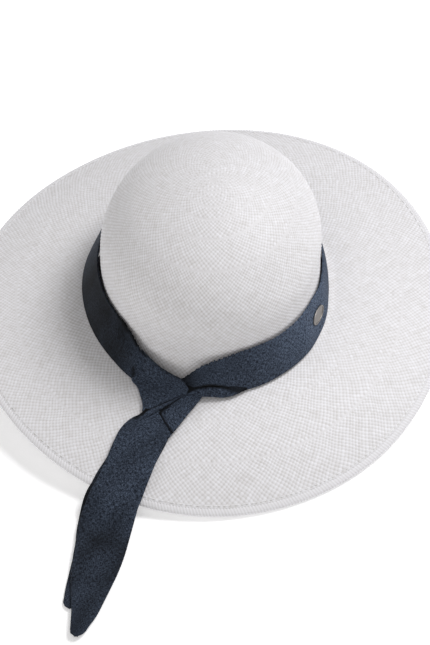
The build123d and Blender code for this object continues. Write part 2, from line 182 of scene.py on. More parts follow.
# ---- weave ----
# Two families of strands cross at 45 degrees to the meridians. a and b count the strands of
# each family; a strand passes over one of the other family and under the next.
CRIMP = 0.28 * MM
ROUND = 0.32 * MM
SOFTEN = 0.02            # the relief is averaged this far across a strand's edge, in strands
OVAL = 0.075             # evens out the strands' spacing round the oval
WAVER = 0.0022           # how far the strands wander from their even places, as an angle
WAVES = [(11, 17, 0), (23, -29, 1), (41, 37, 2)]     # turns, slope and start of each wandering
FINE, COARSE = 3, 2      # mesh points per strand on the upper and on the lower skin
# JOIN_LEVEL is the groove level of the join rings, for the painted groove shadow.
JOIN_LEVEL = 0.62        # shade of the rings where strands are added
RIM_TONE = 0.97
JOIN_TONE = 0.965
STRAND_TONES = np.clip(rng.normal(0.97, 0.016, 1000), 0.9, 1.0)
CELL_TONES = rng.normal(0, 0.022, 997)


def weave_height(a, b):
    """Relief of the weave's upper face, about zero at mid height."""
    total = 0
    for da in (-SOFTEN, SOFTEN):
        for db in (-SOFTEN, SOFTEN):
            m, n = np.floor(a + da), np.floor(b + db)
            warp = CRIMP * (-1) ** m * np.sin(np.pi * b) - ROUND * np.cos(np.pi * (a - m)) ** 4
            weft = -CRIMP * (-1) ** n * np.sin(np.pi * a) - ROUND * np.cos(np.pi * (b - n)) ** 4
            total = total + np.maximum(warp, weft)
    return total / 4


def strand_tone(a, b, strands):
    """Shade of the strand that is on top in each cell."""
    over = (a + b) % 2 < 1
    tones = STRAND_TONES[np.where(over, a % strands, len(STRAND_TONES) // 2 + b % strands)]
    return np.minimum(tones + CELL_TONES[(37 * a + 101 * b) % len(CELL_TONES)], 1)


class Weave:
    """Collects the vertices and faces of one woven shell. A rim is (vertices, their angles)."""

    def __init__(self):
        self.points, self.relief, self.lattice, self.count = [], [], [], 0
        self.quads, self.quad_tones, self.quad_uvs = [], [], []
        self.tris, self.tri_tones = [], []

    def ring(self, surface, place, strands, s0, s1, samples, offset, under):
        """Weave between s0 and s1, where place(s) gives the surface's second parameter."""
        step = math.pi / (samples * strands)
        s0, s1 = s0 + 0.5 * step, s1 - 0.5 * step
        rows = max(2, int(round((s1 - s0) / step)))
        width = samples * strands
        k, m = np.mgrid[0:rows + 1, 0:width]
        u = 2 * m + k % 2
        a, b = (u + k) / (2 * samples), (u - k) / (2 * samples)
        s = s0 + (s1 - s0) * k / rows
        angle = u * step
        angle = angle - 0.5 * OVAL * np.sin(2 * angle)
        angle = angle + WAVER * sum(np.sin(n * angle + slope * s + start) for n, slope, start in WAVES)
        height = weave_height(a, b)
        calm = np.clip(np.minimum(k, rows - k), 0, 1)
        level = (height + ROUND) / (ROUND + CRIMP)
        if under:
            height = -weave_height(a + 1, b)
        points = lifted(surface, angle, place(s), height * calm + offset)
        self.points.append(points.reshape(-1, 3))
        # Groove level from which the straw material paints shadow into the grooves; the join rings get
        # JOIN_LEVEL.
        self.relief.append((level * calm + JOIN_LEVEL * (1 - calm)).ravel())
        self.lattice.append(np.stack([a, b], -1).reshape(-1, 2))
        self.ring_quads(k, m, u, rows, width, strands, samples)
        rims = [self.rim(row, ahead, width) for row, ahead in ((0, 1), (rows, -1))]
        self.count += (rows + 1) * width
        return rims

    def ring_quads(self, k, m, u, rows, width, strands, samples):
        """Diamonds that each span three rows, with their strand coordinates and tones."""
        odd = k % 2
        index = self.count + k * width + m
        left = self.count + (k + 1) * width + (m - 1 + odd) % width
        right = self.count + (k + 1) * width + (m + odd) % width
        top = self.count + (k + 2) * width + m
        inner = slice(0, rows - 1)
        self.quads.append(np.stack([index, left, top, right], -1)[inner].reshape(-1, 4))
        uk = np.stack([u, k], -1)[inner].reshape(-1, 2)
        corner_u = uk[:, :1] + np.array([0, -1, 0, 1])
        corner_k = uk[:, 1:] + np.array([0, 1, 2, 1])
        self.quad_uvs.append(np.stack([corner_u + corner_k, corner_u - corner_k], -1) / (2 * samples))
        cell_a = np.floor((uk[:, 0] + uk[:, 1] + 1) / (2 * samples)).astype(int)
        cell_b = np.floor((uk[:, 0] - uk[:, 1] - 1) / (2 * samples)).astype(int)
        self.quad_tones.append(strand_tone(cell_a, cell_b, strands))

    def rim(self, row, ahead, width):
        """Fills the notches of a ring's first or last row and returns the rim."""
        first = self.count + row * width + np.arange(width)
        second = np.roll(first, -1)
        tip = self.count + (row + ahead) * width + (np.arange(width) + row % 2) % width
        corners = [tip, second, first] if ahead > 0 else [tip, first, second]
        self.add_tris(np.stack(corners, -1), RIM_TONE)
        return first, np.pi * (2 * np.arange(width) + row % 2) / width

    def add_tris(self, tris, tone):
        self.tris.append(tris)
        self.tri_tones.append(np.full(len(tris), tone))

    def bridge(self, low, high):
        """Joins two rims that have different numbers of points with a strip of triangles."""
        (p, pa), (q, qa) = low, high
        pa, qa = np.append(pa, pa[0] + 2 * np.pi), np.append(qa, qa[0] + 2 * np.pi)
        tris, i, j = [], 0, 0
        while i < len(p) or j < len(q):
            step_p = pa[i + 1] if i < len(p) else math.inf
            step_q = qa[j + 1] if j < len(q) else math.inf
            here_p, here_q = p[i % len(p)], q[j % len(q)]
            if step_p <= step_q:
                i += 1
                tris.append((here_q, p[i % len(p)], here_p))
            else:
                j += 1
                tris.append((here_q, q[j % len(q)], here_p))
        self.add_tris(np.array(tris), JOIN_TONE)

    def cap(self, rim, centre):
        """Closes a rim with a fan round one point."""
        ring = rim[0]
        self.points.append(np.array([centre]))
        self.relief.append(np.array([0.5]))
        self.lattice.append(np.zeros((1, 2)))
        fan = np.stack([ring, np.roll(ring, -1), np.full(len(ring), self.count)], -1)
        self.add_tris(fan, JOIN_TONE)
        self.count += 1

    def turn(self, quad_mark, tri_mark):
        """Turns over the faces made after the marks, so that a lower skin faces down."""
        for group in (self.quads, self.quad_uvs):
            group[quad_mark:] = [faces[:, ::-1] for faces in group[quad_mark:]]
        self.tris[tri_mark:] = [faces[:, ::-1] for faces in self.tris[tri_mark:]]


def mesh_from(name, weave):
    """A mesh object with the weave's strand tones, lattice coordinates and the groove level per point from
    which the straw material paints shadow.
    """
    points = np.concatenate(weave.points)
    quads, tris = np.concatenate(weave.quads), np.concatenate(weave.tris)
    starts = np.concatenate([4 * np.arange(len(quads)), 4 * len(quads) + 3 * np.arange(len(tris))])
    sizes = np.concatenate([np.full(len(quads), 4), np.full(len(tris), 3)])
    loops = np.concatenate([quads.ravel(), tris.ravel()])
    mesh = bpy.data.meshes.new(name)
    mesh.vertices.add(len(points))
    mesh.vertices.foreach_set("co", points.ravel())
    mesh.loops.add(len(loops))
    mesh.loops.foreach_set("vertex_index", loops.astype(np.int32))
    mesh.polygons.add(len(starts))
    mesh.polygons.foreach_set("loop_start", starts.astype(np.int32))
    mesh.polygons.foreach_set("loop_total", sizes.astype(np.int32))
    mesh.update(calc_edges=True)
    mesh.validate()
    relief = mesh.attributes.new("relief", "FLOAT", "POINT")
    relief.data.foreach_set("value", np.concatenate(weave.relief).astype(np.float32))
    tones = np.concatenate(weave.quad_tones + weave.tri_tones)
    mesh.attributes.new("tone", "FLOAT", "FACE").data.foreach_set("value", tones.astype(np.float32))
    corners = np.concatenate([np.concatenate(weave.quad_uvs).reshape(-1, 2),
                              np.concatenate(weave.lattice)[tris.ravel()]])
    mesh.uv_layers.new(name="strands").data.foreach_set("uv", corners.ravel().astype(np.float32))
    mesh.polygons.foreach_set("use_smooth", np.ones(len(starts), bool))
    piece = bpy.data.objects.new(name, mesh)
    bpy.context.collection.objects.link(piece)
    return piece


def woven(name, surface, place, strands, marks, closed):
    """An upper and a lower skin of rings of weave, joined at the rims or closed by caps."""
    weave, skins = Weave(), []
    for samples, offset, under in ((FINE, 0.0, False), (COARSE, -STRAW, True)):
        mark, rims = (len(weave.quads), len(weave.tris)), []
        for count, low, high in zip(strands, marks, marks[1:]):
            first, last = weave.ring(surface, place, count, low, high, samples, offset, under)
            if rims:
                weave.bridge(rims[-1], first)
            rims += [first, last]
        if closed:
            weave.cap(rims[0], (LEAN, 0, CROWN_TOP + offset))
        if under:
            weave.turn(*mark)
        skins.append(rims)
    weave.bridge(skins[0][-1], skins[1][-1])
    if not closed:
        weave.bridge(skins[1][0], skins[0][0])
    return mesh_from(name, weave)


# Crown and brim: rings of weave, with more strands in each ring further out.
CROWN_RADII = [2.6, 5, 8.5, 12, 17, 24, 34, 48, 68]
CROWN_STRANDS = [8, 12, 20, 28, 40, 56, 80, 112, 160]
CROWN_FROM, CROWN_TO = 0.02, 2.62        # the crown's parameter where its weave starts and ends
CROWN_STEPS = 1600
CROWN_GROWING = 900      # these first steps, dome and part of the wall, never narrow
BRIM_FROM = 8.0 * MM
BRIM_TO = BRIM_REACH - 2.6 * MM
BRIM_RADII = [126, 158]
BRIM_STRANDS = [200, 252, 312]


def crown_table():
    """The crown's parameter, mean radius and conformal distance from the top, step by step."""
    t = np.linspace(CROWN_FROM, CROWN_TO, CROWN_STEPS)
    across, along = crown_point(0 * t, t), crown_point(0 * t + 0.5 * np.pi, t)
    mean = 0.5 * (across[:, 0] - lean(across[:, 2]) + along[:, 1])
    length = np.hypot(np.diff(mean), np.diff(across[:, 2]))
    s = np.concatenate([[0], np.cumsum(2 * length / (mean[1:] + mean[:-1]))])
    return t, mean, s


def straw_crown():
    t, mean, s = crown_table()
    marks = [float(np.interp(r * MM, mean[:CROWN_GROWING], s[:CROWN_GROWING])) for r in CROWN_RADII]
    marks.append(float(s[-1]))
    return woven("straw_crown", crown_point, lambda v: np.interp(v, s, t), CROWN_STRANDS, marks, True)


def straw_brim():
    base = WALL_MEAN + BRIM_FROM
    radii = [base] + [r * MM for r in BRIM_RADII] + [WALL_MEAN + BRIM_TO]
    marks = [math.log(r / base) for r in radii]
    return woven("straw_brim", brim_point, lambda s: base * np.exp(s) - WALL_MEAN, BRIM_STRANDS,
                 marks, False)


# ---- hem ----
HEM_WIDTH = 7.0
HEM_GAP = 1.5
HEM_TURNS = 2400
HEM_RIDGES = 500
HEM_RIDGE = 0.11
HEM_SLANT = 1.3


def hem():
    """The brim's edge turned under round a wire, slightly ridged by the strand ends."""
    straw = STRAW / MM
    depth = 2 * straw + HEM_GAP
    outer = [(-3.6, -0.1), (-3.0, 0.1), (-1.8, 0.16), (-0.9, 0.1), (-0.1, -0.1), (0.6, -0.6), (0.8, -1.5),
             (0.6, -2.5), (0.0, -depth + 0.1), (-2.5, -depth), (-HEM_WIDTH, -depth)]
    inner = [(-HEM_WIDTH, straw - depth), (-2.5, straw - depth), (-0.5, straw - depth + 0.1),
             (-0.2, -1.6), (-0.4, -1.1), (-1.5, -0.8), (-3.2, -0.8)]
    profile = np.array(outer + inner)
    out, up = profile.T
    angle = np.linspace(0, 2 * np.pi, HEM_TURNS, endpoint=False)[:, None] + 0 * out
    r = edge_reach(angle) / MM + out
    ridge = HEM_RIDGE * np.cos(HEM_RIDGES * angle - HEM_SLANT * out)
    ridge = ridge * (np.arange(len(profile)) < len(outer) - 1)
    z = brim_height(angle, np.minimum(r * MM, edge_reach(angle))) / MM + up + ridge * (up > -1.5)
    points = outward(angle, (r + ridge * (up <= -0.5)) * MM, z * MM)
    index = np.arange(angle.size).reshape(angle.shape)
    after = np.roll(index, -1, 0)
    quads = np.stack([index, np.roll(index, -1, 1), np.roll(after, -1, 1), after], -1).reshape(-1, 4)
    tone = 0.955 + 0.012 * rng.normal(size=(HEM_TURNS, 1))
    made = Weave()
    made.points, made.lattice = [points.reshape(-1, 3)], [np.zeros((angle.size, 2))]
    # Painted shadow between the hem's ridges, through the groove level.
    made.relief = [np.clip(0.75 + 2.2 * ridge, 0, 1).ravel()]
    made.quads, made.quad_uvs = [quads], [np.zeros((len(quads), 4, 2))]
    made.quad_tones = [np.repeat(tone, len(profile), 1).ravel()]
    made.tris, made.tri_tones = [np.zeros((0, 3), int)], []
    return mesh_from("straw_hem", made)



# ---- materials ----
def material(name, roughness, sheen=0.0, metallic=0.0):
    made = bpy.data.materials.new(name)
    made.use_nodes = True
    shader = made.node_tree.nodes["Principled BSDF"]
    shader.inputs["Roughness"].default_value = roughness
    shader.inputs["Sheen Weight"].default_value = sheen
    shader.inputs["Metallic"].default_value = metallic
    return made, made.node_tree, shader


def node(tree, kind, values=(), **settings):
    made = tree.nodes.new(kind)
    for key, value in settings.items():
        setattr(made, key, value)
    for key, value in dict(values).items():
        if isinstance(value, bpy.types.NodeSocket):
            tree.links.new(value, made.inputs[key])
        else:
            made.inputs[key].default_value = value
    return made


def straw_material():
    made, tree, shader = material("woven_straw", 0.55)
    tone = node(tree, "ShaderNodeAttribute", attribute_name="tone").outputs["Fac"]
    # Painted groove shadow: the groove level darkens the straw between strands and at the join rings, on
    # top of the shadows that the woven mesh casts; the ramp's warm dark end colours this painted shadow.
    relief = node(tree, "ShaderNodeAttribute", attribute_name="relief").outputs["Fac"]
    painted_shading = node(tree, "ShaderNodeMapRange", {"Value": relief, "From Min": 0.0, "From Max": 0.95,
                                              "To Min": 0.70, "To Max": 1.0}).outputs[0]
    light = node(tree, "ShaderNodeMath", {0: tone, 1: painted_shading}, operation="MULTIPLY").outputs[0]
    strands = node(tree, "ShaderNodeUVMap", uv_map="strands").outputs[0]
    streaks = []
    for stretch in ((0.9, 0.22, 1), (0.22, 0.9, 1)):
        mapped = node(tree, "ShaderNodeMapping", {"Vector": strands, "Scale": stretch}).outputs[0]
        noise = node(tree, "ShaderNodeTexNoise", {"Vector": mapped, "Scale": 1.0, "Detail": 1.0})
        streaks.append(noise.outputs[0])
    streak = node(tree, "ShaderNodeMath", {0: streaks[0], 1: streaks[1]}, operation="MINIMUM").outputs[0]
    worn = node(tree, "ShaderNodeMapRange", {"Value": streak, "From Min": 0.25, "From Max": 0.55,
                                             "To Min": 0.90, "To Max": 1.0}).outputs[0]
    light = node(tree, "ShaderNodeMath", {0: light, 1: worn}, operation="MULTIPLY").outputs[0]
    ramp = node(tree, "ShaderNodeValToRGB", {"Fac": light})
    ramp.color_ramp.elements[0].position = 0.6
    ramp.color_ramp.elements[0].color = (0.52, 0.50, 0.48, 1)
    ramp.color_ramp.elements[1].position = 1.0
    ramp.color_ramp.elements[1].color = (0.80, 0.80, 0.83, 1)
    tree.links.new(ramp.outputs["Color"], shader.inputs["Base Color"])
    return made


# ---- cloth ----
OUT = np.array([0.05, -0.69, 0.72])      # the way the knot's folds stand off the hat
EDGE_NOSE = 0.35         # how far a sheet's edge is rounded outwards, as a share of its thickness
SHELL_SHIFT = 0.13       # keeps the weaves of one piece's shells apart
TINY = 1e-12


def bend(x, knots):
    """A smooth curve through (x, value, value ...) knots, at the positions x."""
    knots = np.array(knots, float)
    at, values = knots[:, 0], knots[:, 1:]
    slope = np.gradient(values, at, axis=0)
    i = np.clip(np.searchsorted(at, x) - 1, 0, len(at) - 2)
    gap = at[i + 1] - at[i]
    f, gap = np.clip((x - at[i]) / gap, 0, 1)[..., None], gap[..., None]
    result = ((2 * f ** 3 - 3 * f ** 2 + 1) * values[i] + (f ** 3 - 2 * f ** 2 + f) * gap * slope[i]
              + (3 * f ** 2 - 2 * f ** 3) * values[i + 1] + (f ** 3 - f ** 2) * gap * slope[i + 1])
    return result[..., 0] if values.shape[1] == 1 else result


def ease(x, low, high):
    """A smooth rise from 0 at low to 1 at high."""
    f = np.clip((x - low) / (high - low), 0, 1)
    return f * f * (3 - 2 * f)


def between(x, a, b, c, d):
    """A smooth rise from 0 at a to 1 at b, and a fall from 1 at c to 0 at d."""
    return ease(x, a, b) * (1 - ease(x, c, d))


def bump(x, centre, width, power=2):
    """A rounded peak of height 1."""
    return np.exp(-((x - centre) / width) ** power)


def unit(vectors):
    return vectors / np.maximum(np.linalg.norm(vectors, axis=-1, keepdims=True), TINY)


def shell(grid, thickness, ring=False, painted_shading=0.0):
    """Points, quads, cloth coordinates and painted shading of a closed sheet; grid is its outer face, [u,
    v, xyz].
    """
    def along(points, axis):
        if axis == 0 and ring:
            return np.roll(points, -1, 0) - np.roll(points, 1, 0)
        return np.gradient(points, axis=axis)
    normal = unit(np.cross(along(grid, 0), along(grid, 1)))
    thick = np.broadcast_to(thickness, grid.shape[:2])[..., None]
    inner = grid - normal * thick
    middle = grid - 0.5 * normal * thick
    nu, nv = grid.shape[:2]
    across = unit(along(grid, 1))
    edge_low = middle[:, 0] - EDGE_NOSE * across[:, 0] * thick[:, 0]
    edge_high = middle[:, -1] + EDGE_NOSE * across[:, -1] * thick[:, -1]
    loop = np.concatenate([edge_low[:, None], grid, edge_high[:, None], inner[:, ::-1]], 1)
    count = loop.shape[1]
    index = np.arange(nu * count).reshape(nu, count)
    after = np.roll(index, -1, 0) if ring else index[1:]
    now = index if ring else index[:-1]
    quads = np.stack([now, after, np.roll(after, -1, 1), np.roll(now, -1, 1)], -1).reshape(-1, 4)
    du = np.linalg.norm(np.diff(grid, axis=0), axis=-1).mean(1)
    dv = np.linalg.norm(np.diff(grid, axis=1), axis=-1).mean(0)
    us = np.append(0, np.cumsum(du))
    vs = np.append(0, np.cumsum(dv))
    vs = np.concatenate([vs[:1], vs, vs[-1:], vs[::-1]])
    uv = np.stack(np.broadcast_arrays(us[:, None], vs[None]), -1).reshape(-1, 2)
    painted_shading = np.broadcast_to(painted_shading, (nu, nv))
    painted_shading = np.concatenate([painted_shading[:, :1], painted_shading, painted_shading[:, -1:], painted_shading[:, ::-1]], 1).ravel()
    ends = []
    if not ring:
        for row, turn in ((0, 1), (nu - 1, -1)):
            face, back = index[row, 1:nv + 1], index[row, nv + 2:][::-1]
            strip = np.stack([face[:-1], face[1:], back[1:], back[:-1]], -1)[:, ::turn]
            low = [index[row, 0], face[0], back[0], back[0]]
            high = [face[-1], index[row, nv + 1], back[-1], back[-1]]
            ends += [strip, np.array([low[::turn], high[::turn]])]
    return loop.reshape(-1, 3), [quads] + ends, uv, painted_shading


def cloth_piece(name, shells, body=None):
    """One cloth object made of one or more shells."""
    points, faces, uvs, painted_shadings, start = [], [], [], [], 0
    for p, groups, uv, painted_shading in shells:
        points.append(p)
        painted_shadings.append(painted_shading)
        uvs.append(uv + SHELL_SHIFT * len(uvs))
        for group in groups:
            faces += [tuple(int(i) + start for i in dict.fromkeys(quad)) for quad in group.tolist()]
        start += len(p)
    mesh = bpy.data.meshes.new(name)
    mesh.from_pydata(np.concatenate(points).tolist(), [], faces)
    mesh.validate()
    mesh.update()
    # Painted shading per point, darker above zero and lighter below zero, read by the cloth material.
    dim = mesh.attributes.new("painted_shading", "FLOAT", "POINT")
    dim.data.foreach_set("value", np.concatenate(painted_shadings).astype(np.float32))
    layer = mesh.uv_layers.new(name="cloth")
    corner = np.empty(len(mesh.loops), np.int32)
    mesh.loops.foreach_get("vertex_index", corner)
    layer.data.foreach_set("uv", np.concatenate(uvs)[corner].ravel().astype(np.float32))
    mesh.polygons.foreach_set("use_smooth", np.ones(len(mesh.polygons), bool))
    piece = bpy.data.objects.new(name, mesh)
    bpy.context.collection.objects.link(piece)
    piece.data.materials.append(navy)
    if body:
        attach(piece, body)
    return piece


# ---- sash round the crown; angles in degrees, heights, reaches and offsets in mm ----
SASH = 1.4 * MM
LIP = 0.9 * MM
SASH_TOP = 30.4
SASH_TOP_REACH = 1.9
SASH_FOOT = 0.7
SASH_LIFT = 1.0          # the sash's foot stands this far above the straw
SASH_CLEAR = 1.6         # least reach of the sash beyond the wall
SASH_SQUARE = (0.94, 0.34)               # the way out of the sash: level and up
BADGE_ANGLE = 338.5
BADGE_WINDOW = 9
BADGE_DROP = 0.85        # the cloth lies this much lower under the badge
KNOT_ANGLE = 253
UNDER_WRAP = (240, 244, 256, 262)
UNDER_WRAP_DROP = 0.8
PLEAT = (262, 270, 279, 292)
# Angle windows of painted shading on the band: shadow along the left arm, on the upper edge left of the
# knot and on the lower edge right of it; the last one is the centre of painted light on the sash's right
# side.
LEFT_ARM = (165, 190, 228, 242)
LEFT_OF_KNOT = (214, 236, 256, 262)
RIGHT_OF_KNOT = (264, 274, 284, 291)
PAINTED_LIGHT_ANGLE = 340
BORDER = (264.5, 291.5)
BORDER_FADE = 284
TOP_EDGE = [(-20, 26.5), (-8, 24.6), (4, 25.4), (14, 26.5), (30, 28), (60, 29), (120, 29), (150, 28),
            (165, 29), (180, 31.5), (195, 33), (207, 32.6), (219, 33), (228, 31.5), (235.5, 26.5),
            (240, 22.3), (244, 19.3), (251, 15.5), (257, 10), (262, 11), (267, 17), (271, 22), (275, 25),
            (282, 28), (290, 30), (299, 30.3), (310, 29.3), (320, 28.5), (331, 28), (340, 26.9),
            (352, 24.8), (364, 25.4)]
FOOT_EDGE = [(-8, 4.9), (0, 5.2), (12, 6), (30, 4), (60, 0.7), (180, -0.4), (200, -0.2), (228, 0.2),
             (240, -0.3), (260, 0.4), (266, 6), (270.5, 8.6), (275, 9.8), (281, 8.0), (286, 4.0),
             (290.5, 1.0), (296, 0.4), (310, 0.8), (325, 1.0), (338, 1.4), (347, 3), (352, 4.2), (360, 5.2)]
LIP_EDGE = [(262, 2.5), (267, 1.8), (272, 1.2), (276, 0.9), (281, -0.4), (285, 0.0), (290, 0.5), (293, 0.6)]
FOOT_REACH = [(-10, 9.6), (0, 8.2), (12, 7), (30, 9), (60, 12.9), (150, 13.4), (170, 14.4), (185, 13.9),
              (200, 12.9), (228, 13.4), (240, 15.2), (262, 13.6), (275, 12.9), (335, 12.9), (345, 12),
              (352, 9.6), (360, 8.2)]


def straw_height(angle, reach):
    """Height of the straw at a reach within the flare."""
    t = flare_at(np.radians(angle), reach * MM, 0.2, 10)
    return flare(np.radians(angle), t)[1] / MM


def sash_point(angle, z, off):
    """A point on the sash, stood off by off."""
    foot_reach = bend(angle, FOOT_REACH)
    foot = np.maximum(straw_height(angle, foot_reach) + SASH_LIFT, SASH_FOOT)
    reach = foot_reach + (SASH_TOP_REACH - foot_reach) * (z - foot) / (SASH_TOP - foot)
    reach = np.maximum(reach, SASH_CLEAR + wall_reach(np.radians(angle)) / MM)
    level, up = SASH_SQUARE
    return outward(np.radians(angle), (reach + level * off) * MM, (z + up * off) * MM)


def sash_band():
    """The band round the crown, and its lower border, which is folded out beside the knot."""
    angle = np.arange(0, 360, 0.5)[:, None] + 0 * np.linspace(0, 1, 26)
    v = np.linspace(0, 1, 26) + 0 * angle
    ragged = 0.3 * np.sin(2.9 * angle) + 0.25 * np.sin(5.3 * angle + 1)
    ragged = ragged + 0.3 * rng.normal(size=(len(angle), 1))
    top, foot = bend(angle, TOP_EDGE) + ragged * (1 - v), bend(angle, FOOT_EDGE)
    z = top + (foot - top) * v
    swell = np.sin(np.pi * v)
    near_knot = bump(angle, KNOT_ANGLE, 22)
    off = (0.9 * swell + 2.6 * between(angle, *PLEAT) * v ** 2.5
           + 0.7 * near_knot * swell * np.sin(7.5 * v + 0.09 * (angle - KNOT_ANGLE))
           + 0.35 * swell * np.sin(0.17 * angle + 3 * v))
    badge = bump(angle, BADGE_ANGLE, BADGE_WINDOW, 4)
    off = off * (1 - badge) - BADGE_DROP * badge
    off = off - (off + UNDER_WRAP_DROP) * between(angle, *UNDER_WRAP)
    # Painted shading: shadow where the left arm goes under the wrap, near the knot, along the upper edge
    # left of the knot, along the lower edge right of it, beside the wrap's tip and along the left arm;
    # painted light, as negative values, on the sash's right side.
    painted_light_and_shade = (0.75 * bump(angle, 240.3 - 0.12 * z, 1.1) * (1 - ease(z, 6, 12)) + 0.25 * near_knot
            + 0.5 * between(angle, *LEFT_OF_KNOT) * ease(v, 0.1, 0)
            + 0.7 * between(angle, *RIGHT_OF_KNOT) * ease(v, 0.93, 1)
            + 0.6 * bump(angle, RIGHT_OF_KNOT[0], 4) + 0.7 * between(angle, *LEFT_ARM)
            - bump((angle - PAINTED_LIGHT_ANGLE + 180) % 360, 180, 30))
    band = shell(sash_point(angle, z, off), SASH, ring=True, painted_shading=np.clip(painted_light_and_shade, -1.0, 0.9))
    angle = np.linspace(*BORDER, 60)[:, None] + 0 * np.linspace(0, 1, 18)
    v = np.linspace(0, 1, 18) + 0 * angle
    foot = bend(angle, FOOT_EDGE)
    top = foot + 4.0
    z = top + (bend(angle, LIP_EDGE) - top) * v
    fade = 1 - ease(angle, BORDER_FADE, BORDER[1])
    off = 0.3 + (0.2 + 3.0 * v) * (0.25 + 0.75 * fade) + 1.4 * np.sin(np.pi * v ** 1.4) * fade
    # Painted shadow on the border's upper part, under the band's crease.
    border = shell(sash_point(angle, z, off), LIP, painted_shading=0.92 * ease(z, foot - 3.0, foot - 1.4))
    return cloth_piece("sash_cloth_band", [band, border], "hat")


# ---- knot ----
WRAP = 1.3 * MM
FOLD = 1.2 * MM
GROOVE = 0.9             # where the groove runs across the wrap, as a share of its depth


def stood_off(knots, share):
    """Points in metres along a line of (x, y, z, off) knots in mm, each stood off the hat."""
    knots = np.array(knots, float)
    run = np.concatenate([[0], np.cumsum(np.linalg.norm(np.diff(knots[:, :3], axis=0), axis=1))])
    line = bend(share * run[-1], np.column_stack([run, knots]))
    return (line[..., :3] + line[..., 3:] * OUT) * MM


def patch(upper, lower, left, right, across, down, bulge, groove=None):
    """A sheet between four edge lines, bulging in its middle."""
    u, v = np.linspace(0, 1, across), np.linspace(0, 1, down)
    if groove is not None:
        v = np.unique(np.append(v, groove + np.linspace(-0.04, 0.04, 9)))
    top, bottom = stood_off(upper, u)[:, None], stood_off(lower, u)[:, None]
    first, last = stood_off(left, v)[None], stood_off(right, v)[None]
    u, v = u[:, None, None], v[None, :, None]
    corners = ((1 - u) * (1 - v) * top[:1] + u * (1 - v) * top[-1:]
               + (1 - u) * v * bottom[:1] + u * v * bottom[-1:])
    grid = (1 - v) * top + v * bottom + (1 - u) * first + u * last - corners
    swell_u, swell_v = np.sin(np.pi * u), np.sin(np.pi * v)
    swell = bulge * swell_v * (swell_u ** 0.8 + 0.25 * swell_u * np.sin(9 * v + 4 * u))
    if groove is not None:
        swell = swell - 0.55 * bump(v, groove, 0.018) * np.clip(8 * u * (1 - u), 0, 1)
        swell = swell + 0.3 * ease(v, groove + 0.01, groove + 0.05)
    return grid + swell * OUT * MM, u[..., 0], v[..., 0]


WRAP_TIP = [(-7.4, -111.4, 5.2, 4.6), (-6.3, -112.6, 2.4, 5.3), (-7.0, -113.0, 0.4, 5.6)]
WRAP_UPPER = [(-43.8, -91.5, 21.5, 0.9), (-38.4, -95.9, 19.5, 1.9), (-28.9, -102.2, 15.5, 3.0),
              (-20.0, -106.2, 12.8, 3.8), (-12.4, -108.6, 10.2, 4.2), WRAP_TIP[0]]
WRAP_LEFT = [WRAP_UPPER[0], (-44.0, -95.0, 14.5, 1.2), (-44.2, -97.6, 8.2, 1.7), (-47.0, -99.0, 3.2, 2.0),
             (-50.6, -101.0, -1.4, 2.0), (-49.3, -103.0, -1.7, 2.3), (-46.3, -106.3, -2.0, 2.7),
             (-42.3, -115.5, -2.7, 3.4), (-40.3, -122.0, -3.3, 4.2), (-39.8, -128.7, -4.2, 5.0),
             (-39.8, -135.3, -5.3, 6.0)]
WRAP_LOWER = [WRAP_LEFT[-1], (-33.9, -131.1, -4.4, 7.2), (-27.1, -126.1, -3.4, 7.8),
              (-20.0, -120.7, -2.5, 7.6), (-13.4, -115.4, -1.8, 6.8), WRAP_TIP[-1]]
FOLD_RIGHT = [(2.6, -114.0, -1.2, 2.6), (-2.2, -122.5, -2.5, 3.2), (-7.5, -131.2, -3.9, 3.9),
              (-11.9, -138.8, -5.3, 4.5), (-16.6, -146.0, -6.9, 5.0)]
FOLD_HIDDEN = [(-3.0, -110.0, 3.5, 2.4), (-14.0, -114.0, -0.6, 3.2), (-22.0, -119.0, -2.4, 3.6),
               (-31.0, -127.5, -3.9, 4.2)]
FOLD_TOP = [FOLD_HIDDEN[0], (0.0, -112.0, 1.0, 2.6), FOLD_RIGHT[0]]
FOLD_END = [FOLD_HIDDEN[-1], (-28.0, -129.8, -4.0, 5.0), (-22.1, -138.2, -5.3, 5.3), FOLD_RIGHT[-1]]


def knot_wrap():
    """The turn of cloth round the knot, with a groove near its lower edge."""
    grid, u, v = patch(WRAP_UPPER, WRAP_LOWER, WRAP_LEFT, WRAP_TIP, 70, 44, 2.4, groove=GROOVE)
    # Painted shadow in the groove and along the wrap's upper and lower edges.
    painted_light_and_shade = 0.8 * bump(v, GROOVE, 0.014) + 0.45 * ease(v, 0.1, 0) + 0.3 * ease(v, 0.97, 1) + 0 * u
    return cloth_piece("knot_cloth_wrap", [shell(grid[::-1], WRAP, painted_shading=painted_light_and_shade[::-1])], "hat")


def knot_fold():
    """The fold that comes out from under the wrap, with painted shadow where it goes under it and along its
    end.
    """
    grid, u, v = patch(FOLD_HIDDEN, FOLD_RIGHT, FOLD_TOP, FOLD_END, 50, 30, 0.9)
    painted_light_and_shade = 0.9 * (1 - ease(v, 0.17 + 0.04 * u, 0.27 + 0.04 * u)) + 0.85 * ease(u, 0.945, 0.97)
    painted_light_and_shade = np.clip(painted_light_and_shade, 0, 0.9)
    return cloth_piece("knot_cloth_fold", [shell(grid[::-1], FOLD, painted_shading=painted_light_and_shade[::-1])], "hat")


# ---- tails, in mm; s runs along a tail from the knot's mouth ----
TAIL = 1.2
TAIL_LIE = 0.6
TAIL_OVER = TAIL + 1.1   # how far the front tail lies above the back one's place
FRONT_RIPPLE, BACK_RIPPLE = 0.45, 0.1
TAIL_FROM = -2.5
FRONT_END, BACK_END = 178.3, 156.4
ROOT_FROM, ROOT_TO = -13, 0.8
ROOT_LIFT = 0.15
MOUTH_X, MOUTH_Y = -29.0, -139.0
BRIM_RUN = 62.0
BEND_RADIUS = 105.0
DRAPE_REACH = 30.0
FRONT_TURN = (22.0, 3.0)
BACK_TURN = (24.5, 6.0)
